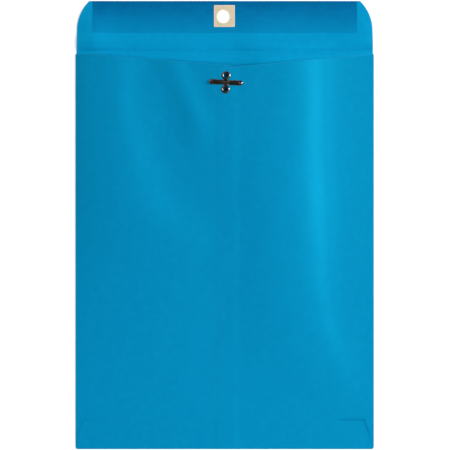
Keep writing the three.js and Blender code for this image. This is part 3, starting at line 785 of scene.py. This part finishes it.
shares = np.linspace(-1, 1, 200)[None, :]
rows = np.linspace(0, 1, 40)[:, None]
x = gum_high.x * shares + 0 * rows
lower_side = gum_low.y + GUM_WANDER * (0.5 + 0.5 * np.sin(x / 9.7 + 0.4))
upper_side = free_edge - GUM_EDGE - GUM_WANDER * (0.5 + 0.5 * np.sin(x / 12.1))
y = lower_side + (upper_side - lower_side) * rows
x = x - np.sign(x) * GUM_WANDER * (0.5 + 0.5 * np.sin(y / 1.7)) * np.abs(shares) ** 30
lift = sheet_height(x, y) + PAPER
gum_strip = add_sheet(
    "gum_film", np.stack([x, y, lift], axis=-1), np.stack([x, y, lift + GLUE], axis=-1),
)
punch(gum_strip, hole_x, hole_y, HOLE_RADIUS)
mark_surface(gum_strip, lambda x, y: free_edge - y)
gum_strip.data.materials.append(dried_gum())
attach(gum_strip, "flap")
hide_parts("flap_gum_strip")

# Hole patch
# A square of tan manila card, glued round the punched hole in the seal flap to keep the clasp's
# prongs from tearing it. It is cut with the hole in one stroke, so the two edges are flush.
PATCH_THICKNESS = 0.18
PATCH_COLOUR = "#c9b897"
PATCH_PALE_COLOUR = "#dccdb0"
PATCH_DARK_COLOUR = "#ab9674"
PATCH_RIM_HIGHLIGHT_COLOUR = "#f0d8bf"
PATCH_FIBRE_LENGTH = 1.8
PATCH_FIBRE_WIDTH = 0.35
PATCH_CORNER = 0.5
PATCH_PRESS = 0.06
PATCH_PRESS_WIDTH = 0.5


# Manila card, machine made: long fibres one way, darker flecks, and a painted highlight along the cut edges.
def manila_card():
    material, tree = new_material("manila_card")
    place = add_node(tree, "ShaderNodeAttribute", attribute_name="rest_mm").outputs["Vector"]
    edge_tone = add_node(tree, "ShaderNodeAttribute", attribute_name="edge_and_bend_mark").outputs["Fac"]
    turned = add_node(tree, "ShaderNodeMapping", {
        "Vector": place,
        "Rotation": (0, 0, math.radians(12)),
        "Scale": (1 / PATCH_FIBRE_LENGTH, 1 / PATCH_FIBRE_WIDTH, 1 / PATCH_FIBRE_WIDTH),
    })
    fibres = add_node(tree, "ShaderNodeTexNoise", {
        "Vector": turned.outputs["Vector"], "Scale": 1.0, "Detail": 4.0, "Roughness": 0.7,
    })
    flecks = add_node(tree, "ShaderNodeTexNoise", {"Vector": place, "Scale": 0.9, "Detail": 2.0})
    shades = add_node(tree, "ShaderNodeValToRGB", {"Fac": fibres.outputs["Fac"]})
    ramp = shades.color_ramp
    ramp.elements[0].position = 0.3
    ramp.elements[0].color = linear_colour(PATCH_COLOUR)
    ramp.elements[1].position = 0.7
    ramp.elements[1].color = linear_colour(PATCH_PALE_COLOUR)
    fleck_mask = add_node(tree, "ShaderNodeMapRange", {
        "Value": flecks.outputs["Fac"], "From Min": 0.55, "From Max": 0.75, "To Min": 0.0, "To Max": 0.5,
    })
    flecked = add_node(tree, "ShaderNodeMix", {
        0: fleck_mask.outputs["Result"], 6: shades.outputs["Color"], 7: linear_colour(PATCH_DARK_COLOUR),
    }, data_type="RGBA")
    # Painted highlight along the cut edges of the card and of the hole.
    colour = add_node(tree, "ShaderNodeMix", {
        0: edge_tone, 6: flecked.outputs[2], 7: linear_colour(PATCH_RIM_HIGHLIGHT_COLOUR),
    }, data_type="RGBA")
    bump = add_node(tree, "ShaderNodeBump", {
        "Height": fibres.outputs["Fac"], "Strength": 0.35, "Distance": 0.08 * MM,
    })
    surface = add_node(tree, "ShaderNodeBsdfPrincipled", {
        "Base Color": colour.outputs[2],
        "Roughness": 0.72,
        "IOR": 1.5,
        "Normal": bump.outputs["Normal"],
    })
    add_node(tree, "ShaderNodeOutputMaterial", {"Surface": surface.outputs["BSDF"]})
    return material


rows = refined(patch_low.y, patch_high.y, spacing=0.5, fine=0.12, fine_steps=5)[:, None]
inward = np.clip(1 - np.minimum(rows - patch_low.y, patch_high.y - rows) / PATCH_CORNER, 0, 1)
corner = PATCH_CORNER * (1 - np.sqrt(1 - inward ** 2))
middle_x = (patch_low.x + patch_high.x) / 2
half = (patch_high.x - patch_low.x) / 2
shares = refined(-1, 1, spacing=0.06, fine=0.014, fine_steps=5)[None, :]
x = middle_x + (half - corner) * shares
y = rows + 0 * x
near_edge = np.minimum(half - np.abs(x - middle_x), np.minimum(y - patch_low.y, patch_high.y - y))
press = PATCH_PRESS * np.clip(1 - near_edge / PATCH_PRESS_WIDTH, 0, 1) ** 2
lift = sheet_height(x, y) + PAPER + GLUE
hole_patch = add_sheet(
    "hole_patch",
    np.stack([x, y, lift], axis=-1),
    np.stack([x, y, lift + PATCH_THICKNESS - press], axis=-1),
)
punch(hole_patch, hole_x, hole_y, HOLE_RADIUS)


def patch_edge_distance(x, y):
    side = np.minimum(half - np.abs(x - middle_x), np.minimum(y - patch_low.y, patch_high.y - y))
    return np.minimum(side, np.hypot(x - hole_x, y - hole_y) - HOLE_RADIUS)


mark_surface(hole_patch, patch_edge_distance)
hole_patch.data.materials.append(manila_card())
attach(hole_patch, "flap")
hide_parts("flap_hole_patch")

# Clasp plate
# One stamping of thin tinned steel: two eyelets drawn up from the plate, pushed through the paper
# and clinched inside in petals, a waisted neck between them, and a folded spine for the prongs.
CLASP_SHEET = 0.3
EYELET_BORE_RADIUS = 1.65
EYELET_RIM_RADIUS = 3.3
EYELET_RIM_HEIGHT = 0.85
EYELET_CLINCH_RADIUS = 2.75
EYELET_CLINCH_HEIGHT = 0.25
EYELET_PETALS = 6
NECK_HALF_WIDTH = 1.5
NECK_WAIST = 0.45
NECK_REACH = 2.55
NECK_EDGE_DROP = 0.09
SPINE_WIDTH = 0.7
SPINE_HEIGHT = 1.0
SPINE_LENGTH = 2.9
TIN_COLOUR = "#b0a9a2"
TIN_DARK_COLOUR = "#3a302a"
# Painted shade round the bends in the clasp's middle: full out to the start, gone by the reach.
TIN_SHADE_START = 1.6
TIN_SHADE_REACH = 3.4
TIN_GRAIN = 0.25
clasp_high = box_mm("clasp_base")[1]
clasp_seat = clasp_high.z - SPINE_HEIGHT


# Tinned steel, stamped: a bright thin plating that mirrors the room, dulled to brown where the dies
# rubbed it, darkened by painted shade in the middle where the prongs bend, and with a fine drawn grain.
def tinned_steel():
    material, tree = new_material("tinned_steel")
    place = add_node(tree, "ShaderNodeAttribute", attribute_name="rest_mm").outputs["Vector"]
    stretched = add_node(tree, "ShaderNodeMapping", {
        "Vector": place, "Scale": (0.4 / TIN_GRAIN, 2.5 / TIN_GRAIN, 2.5 / TIN_GRAIN),
    })
    grain = add_node(tree, "ShaderNodeTexNoise", {
        "Vector": stretched.outputs["Vector"], "Scale": 1.0, "Detail": 3.0,
    })
    dulled = add_node(tree, "ShaderNodeTexNoise", {"Vector": place, "Scale": 0.8, "Detail": 4.0})
    dull = add_node(tree, "ShaderNodeMapRange", {
        "Value": dulled.outputs["Fac"], "From Min": 0.36, "From Max": 0.6, "To Min": 0.0, "To Max": 0.9,
    })
    # Painted shade: the middle of the clasp, round the bends, is drawn darker and rougher.
    tone_mark = add_node(tree, "ShaderNodeAttribute", attribute_name="edge_and_bend_mark").outputs["Fac"]
    dull = add_node(tree, "ShaderNodeMath", {0: dull.outputs["Result"], 1: tone_mark}, operation="MAXIMUM")
    colour = add_node(tree, "ShaderNodeMix", {
        0: dull.outputs[0], 6: linear_colour(TIN_COLOUR), 7: linear_colour(TIN_DARK_COLOUR),
    }, data_type="RGBA")
    roughness = add_node(tree, "ShaderNodeMapRange", {
        "Value": dulled.outputs["Fac"], "From Min": 0.3, "From Max": 0.7, "To Min": 0.14, "To Max": 0.28,
    })
    roughness = add_node(tree, "ShaderNodeMath", {
        0: tone_mark, 1: 0.14, 2: roughness.outputs["Result"],
    }, operation="MULTIPLY_ADD")
    bump = add_node(tree, "ShaderNodeBump", {
        "Height": grain.outputs["Fac"], "Strength": 0.1, "Distance": 0.02 * MM,
    })
    surface = add_node(tree, "ShaderNodeBsdfPrincipled", {
        "Base Color": colour.outputs[2],
        "Metallic": 1.0,
        "Roughness": roughness.outputs[0],
        "Normal": bump.outputs["Normal"],
    })
    add_node(tree, "ShaderNodeOutputMaterial", {"Surface": surface.outputs["BSDF"]})
    return material


def bend_distance(x, y):
    """Distance from the bends in the clasp's middle, scaled so that the middle takes the painted shade."""
    away = np.hypot(x - clasp_middle.x, y - clasp_middle.y)
    return EDGE_TONE_WIDTH * np.maximum(0, away - TIN_SHADE_START) / (TIN_SHADE_REACH - TIN_SHADE_START)


def add_ring(name, profiles):
    """A closed ring from matching closed profiles, one after another round it."""
    count, points = profiles.shape[:2]
    index = np.arange(count * points).reshape(count, points)
    after = np.roll(index, -1, axis=0)
    beside = np.roll(index, -1, axis=1)
    both = np.roll(after, -1, axis=1)
    faces = np.stack([index, after, both, beside], axis=-1).reshape(-1, 4).tolist()
    return add_object(name, profiles, faces)


def add_tube(name, rings):
    """A closed tube from a grid of points, one ring of its section after another."""
    rows, sides = rings.shape[:2]
    index = np.arange(rows * sides).reshape(rows, sides)
    faces = [index[0].tolist(), index[-1][::-1].tolist()]
    for row in range(rows - 1):
        for column in range(sides):
            after = (column + 1) % sides
            corners = [(row, column), (row + 1, column), (row + 1, after), (row, after)]
            faces.append([int(index[corner]) for corner in corners])
    return add_object(name, rings, faces)


def eyelet_ring(name, centre):
    """Rolled rim above, barrel through the paper, and clinched petals below."""
    stack = PAPER + GLUE + PAPER
    rim_middle = (EYELET_RIM_RADIUS + EYELET_BORE_RADIUS) / 2
    rim_half = (EYELET_RIM_RADIUS - EYELET_BORE_RADIUS) / 2
    arc = np.linspace(0, math.pi, 24)
    rim_r = rim_middle + rim_half * np.cos(arc)
    rim_z = EYELET_RIM_HEIGHT * np.sin(arc) ** 0.85
    round_steps = np.linspace(0, 2 * math.pi, 120, endpoint=False)
    profiles = []
    for turn in round_steps:
        petal = 0.82 + 0.18 * abs(math.cos(EYELET_PETALS * turn / 2)) ** 0.5
        clinch = EYELET_BORE_RADIUS + (EYELET_CLINCH_RADIUS - EYELET_BORE_RADIUS) * petal
        clinch_arc = np.linspace(math.pi, 0, 12)
        clinch_r = (clinch + EYELET_BORE_RADIUS) / 2 + (clinch - EYELET_BORE_RADIUS) / 2 * np.cos(clinch_arc)
        clinch_z = -stack - EYELET_CLINCH_HEIGHT * np.sin(clinch_arc)
        barrel = EYELET_BORE_RADIUS + CLASP_SHEET
        radius = np.concatenate([rim_r, clinch_r, [barrel, barrel]])
        height = np.concatenate([rim_z, clinch_z, [-stack, 0]])
        profiles.append(np.stack([
            centre.x + radius * math.cos(turn), centre.y + radius * math.sin(turn), clasp_seat + height,
        ], axis=-1))
    return add_ring(name, np.array(profiles))


def clasp_place(along, up, height):
    """Points in the clasp's own tilted axes, as points of the frame in millimetres."""
    x = clasp_middle.x + along * clasp_across.x + up * clasp_up.x
    y = clasp_middle.y + along * clasp_across.y + up * clasp_up.y
    return np.stack([x, y, clasp_seat + height + 0 * x], axis=-1)


up = np.linspace(-NECK_REACH, NECK_REACH, 25)[:, None]
half_width = NECK_HALF_WIDTH - NECK_WAIST * (1 - (up / NECK_REACH) ** 2)
share = np.sin(np.linspace(-1, 1, 17) * math.pi / 2)[None, :]
crown = CLASP_SHEET - NECK_EDGE_DROP * np.abs(share) ** 6 + 0 * up
clasp_plate = add_sheet(
    "clasp_plate",
    clasp_place(half_width * share, up + 0 * share, 0 * crown),
    clasp_place(half_width * share, up + 0 * share, crown),
)
section = np.linspace(0, 2 * math.pi, 24, endpoint=False)
spine_rows = np.linspace(-1, 1, 15)[:, None]
taper = np.sqrt(np.maximum(0.02, 1 - np.abs(spine_rows) ** 8))
spine_z = CLASP_SHEET / 2 + (SPINE_HEIGHT - CLASP_SHEET / 2) * (0.5 + 0.5 * taper * np.cos(section))
spine_x = SPINE_WIDTH / 2 * taper * np.sin(section) * (1 - 0.25 * np.cos(section))
spine = add_tube("spine", clasp_place(spine_x, spine_rows * SPINE_LENGTH / 2 + 0 * spine_x, spine_z))
cut_or_join(clasp_plate, spine, "UNION")
for place in eyelets:
    cut_or_join(clasp_plate, eyelet_ring("eyelet", place), "UNION")
mark_surface(clasp_plate, bend_distance)
steel = tinned_steel()
clasp_plate.data.materials.clear()
clasp_plate.data.materials.append(steel)
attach(clasp_plate, "pouch")
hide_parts("clasp_base")

# Prongs
# Two arms of the same stamping, pressed to a shallow channel with a round closed tip, and rolled
# at the root, where they bend up through the hole in the seal flap and down again over it.
PRONG_REACH = 12.9
PRONG_HALF_WIDTH = 1.95
PRONG_ROOT_HALF_WIDTH = 1.55
PRONG_HEIGHT = 0.85
PRONG_ROOT_RADIUS = 0.4
PRONG_ROOT_LENGTH = 3.2
DIMPLE_FROM_TIP = 1.9
DIMPLE_RADIUS = 0.5
DIMPLE_DEPTH = 0.14


def prong_channel(name, joint_name, node, body):
    """A prong along its own axis from the hinge, turned and moved to its joint."""
    joint = joints[joint_name]
    hinge = Vector(joint["pos_m"]) / MM
    axis = Vector(joint["axis"])
    outward = Vector((-axis.y, axis.x, 0))
    beside = Vector((-outward.y, outward.x, 0))
    length = PRONG_REACH - 1
    steps = np.concatenate([
        np.linspace(0, length - PRONG_HALF_WIDTH, 60),
        length - PRONG_HALF_WIDTH + PRONG_HALF_WIDTH * np.sin(np.linspace(0.06, 1.54, 26)),
    ])[:, None]
    widened = smooth(0, PRONG_ROOT_LENGTH, steps)
    root = PRONG_ROOT_HALF_WIDTH + (PRONG_HALF_WIDTH - PRONG_ROOT_HALF_WIDTH) * widened
    tip = np.clip(steps - (length - PRONG_HALF_WIDTH), 0, PRONG_HALF_WIDTH)
    half_width = np.minimum(root, np.sqrt(PRONG_HALF_WIDTH ** 2 - tip ** 2))
    fullness = (half_width / PRONG_HALF_WIDTH) ** 0.6
    turn = np.linspace(-1, 1, 33)[None, :] * math.pi / 2
    dimple = DIMPLE_DEPTH * np.exp(-(
        ((steps - (length - DIMPLE_FROM_TIP)) / DIMPLE_RADIUS) ** 2
        + (half_width * np.sin(turn) / DIMPLE_RADIUS) ** 2
    ))
    grids = []
    for wall in (CLASP_SHEET, 0):
        across = np.maximum(0.02, half_width - wall) * np.sin(turn)
        height = np.maximum(0.01, PRONG_HEIGHT * fullness - wall) * np.cos(turn) ** 0.9 - dimple
        reach = np.minimum(steps, length - wall) + 0 * across
        z = hinge.z - PRONG_ROOT_RADIUS + height
        x = hinge.x + reach * outward.x + across * beside.x
        y = hinge.y + reach * outward.y + across * beside.y
        grids.append(np.stack([x, y, z], axis=-1))
    prong = add_sheet(name, *grids)
    roll = np.linspace(0, 2 * math.pi, 28, endpoint=False)
    rows = np.linspace(-1, 1, 9)[:, None]
    radius = PRONG_ROOT_RADIUS * np.sqrt(np.maximum(0.1, 1 - rows ** 10)) + 0 * roll
    sideways = rows * PRONG_ROOT_HALF_WIDTH + 0 * roll
    forward = radius * np.cos(roll)
    points = np.stack([
        hinge.x + forward * outward.x + sideways * beside.x,
        hinge.y + forward * outward.y + sideways * beside.y,
        hinge.z + radius * np.sin(roll),
    ], axis=-1)
    cut_or_join(prong, add_tube("root", points), "UNION")
    mark_surface(prong, bend_distance)
    prong.data.materials.clear()
    prong.data.materials.append(steel)
    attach(prong, body)
    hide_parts(node)


prong_channel("left_prong_channel", "left_prong_bend", "clasp_left_prong", "left_prong")
prong_channel("right_prong_channel", "right_prong_bend", "clasp_right_prong", "right_prong")

# Table, light and camera
# A plain white table under a camera that looks straight down. A low soft key lamp on the right
# models the folds, a small high softbox beside it gives the gloss, one overhead evens the light,
# and a weak fill comes from the upper left. A colour renders about as it is written.
TABLE_SIZE = 30.0
TABLE_ALBEDO = 0.8
TABLE_GLOW = 0.28
TABLE_GAP = 0.05
TABLE_THICKNESS = 20
VIEW_WIDTH = 0.3449
LENS = 100.0
SENSOR = 36.0
VIEW_X = 0.00023
KEY_LEVEL = 2.7
KEY_DISTANCE = 2.4
GLOSS_LEVEL = 0.83
OVERHEAD_LEVEL = 0.93
OVERHEAD_DISTANCE = 0.8
FILL_LEVEL = 0.4
SKY_LEVELS = [(0.02, 0.9), (0.12, 0.75), (0.3, 0.22), (0.6, 0.05), (0.98, 0.02)]
bpy.context.scene.view_settings.view_transform = "Standard"


# White laminate, matt: plain white to the camera and in mirrors, with the object's shadow kept.
def white_table():
    material, tree = new_material("white_table")
    path = add_node(tree, "ShaderNodeLightPath")
    seen = add_node(tree, "ShaderNodeMath", {
        0: path.outputs["Is Camera Ray"], 1: path.outputs["Is Glossy Ray"],
    }, operation="MAXIMUM")
    seen = add_node(tree, "ShaderNodeMath", {
        0: seen.outputs[0], 1: path.outputs["Is Transmission Ray"],
    }, operation="MAXIMUM")
    glow = add_node(tree, "ShaderNodeMath", {0: seen.outputs[0], 1: TABLE_GLOW}, operation="MULTIPLY")
    surface = add_node(tree, "ShaderNodeBsdfPrincipled", {
        "Base Color": (TABLE_ALBEDO, TABLE_ALBEDO, TABLE_ALBEDO, 1),
        "Roughness": 0.8,
        "Specular IOR Level": 0.0,
        "Emission Color": (1, 1, 1, 1),
        "Emission Strength": glow.outputs[0],
    })
    add_node(tree, "ShaderNodeOutputMaterial", {"Surface": surface.outputs["BSDF"]})
    return material


reach = TABLE_SIZE / 2 / MM
table_x, table_y = np.meshgrid([-reach, reach], [-reach, reach])
table_top = np.stack([table_x, table_y, 0 * table_x - TABLE_GAP], axis=-1)
table = add_sheet("table", table_top - [0, 0, TABLE_THICKNESS], table_top)
table.data.materials.append(white_table())

# The room that metal mirrors: pale walls round the table and a dark ceiling.
world = bpy.data.worlds.new("studio")
bpy.context.scene.world = world
world.use_nodes = True
sky = world.node_tree
sky.nodes.clear()
direction = add_node(sky, "ShaderNodeTexCoord").outputs["Generated"]
upward = add_node(sky, "ShaderNodeSeparateXYZ", {"Vector": direction}).outputs["Z"]
sky_ramp = add_node(sky, "ShaderNodeValToRGB", {"Fac": upward})
sky_stops = sky_ramp.color_ramp.elements
for height, level in SKY_LEVELS:
    stop = sky_stops.new(height)
    stop.color = (level, level, level, 1)
sky_stops.remove(sky_stops[0])
sky_stops.remove(sky_stops[-1])
background = add_node(sky, "ShaderNodeBackground", {"Color": sky_ramp.outputs["Color"], "Strength": 1.0})
add_node(sky, "ShaderNodeOutputWorld", {"Surface": background.outputs["Background"]})


def add_softbox(name, level, spread, azimuth, from_zenith, distance=None, mirrored=True):
    """A broad lamp: azimuth from +X towards +Y, both angles and the spread in degrees."""
    lamp = bpy.data.lights.new(name, "AREA" if distance else "SUN")
    if distance:
        lamp.shape = "DISK"
        lamp.size = 2 * distance * math.tan(math.radians(spread / 2))
        lamp.energy = level * math.pi * distance ** 2
    else:
        lamp.energy = level
        lamp.angle = math.radians(spread)
    holder = bpy.data.objects.new(name, lamp)
    turn, lean = math.radians(azimuth), math.radians(from_zenith)
    away = Vector((math.sin(lean) * math.cos(turn), math.sin(lean) * math.sin(turn), math.cos(lean)))
    holder.rotation_euler = away.to_track_quat("Z", "Y").to_euler()
    holder.location = away * (distance or 1)
    holder.visible_glossy = mirrored
    bpy.context.scene.collection.objects.link(holder)


add_softbox("key_softbox", KEY_LEVEL, spread=18, azimuth=14, from_zenith=60, distance=KEY_DISTANCE)
add_softbox("gloss_softbox", GLOSS_LEVEL, spread=20, azimuth=10, from_zenith=28)
add_softbox(
    "overhead_softbox", OVERHEAD_LEVEL, spread=16, azimuth=-90, from_zenith=24,
    distance=OVERHEAD_DISTANCE, mirrored=False,
)
add_softbox("fill_softbox", FILL_LEVEL, spread=34, azimuth=140, from_zenith=36)

camera = bpy.data.objects.new("camera", bpy.data.cameras.new("camera"))
camera.data.lens = LENS
camera.data.sensor_width = SENSOR
view_y = (cad_low.y + cad_high.y) / 2
camera.location = (VIEW_X, view_y, VIEW_WIDTH * LENS / SENSOR)
bpy.context.scene.collection.objects.link(camera)
bpy.context.scene.camera = camera

bpy.context.view_layer.update()
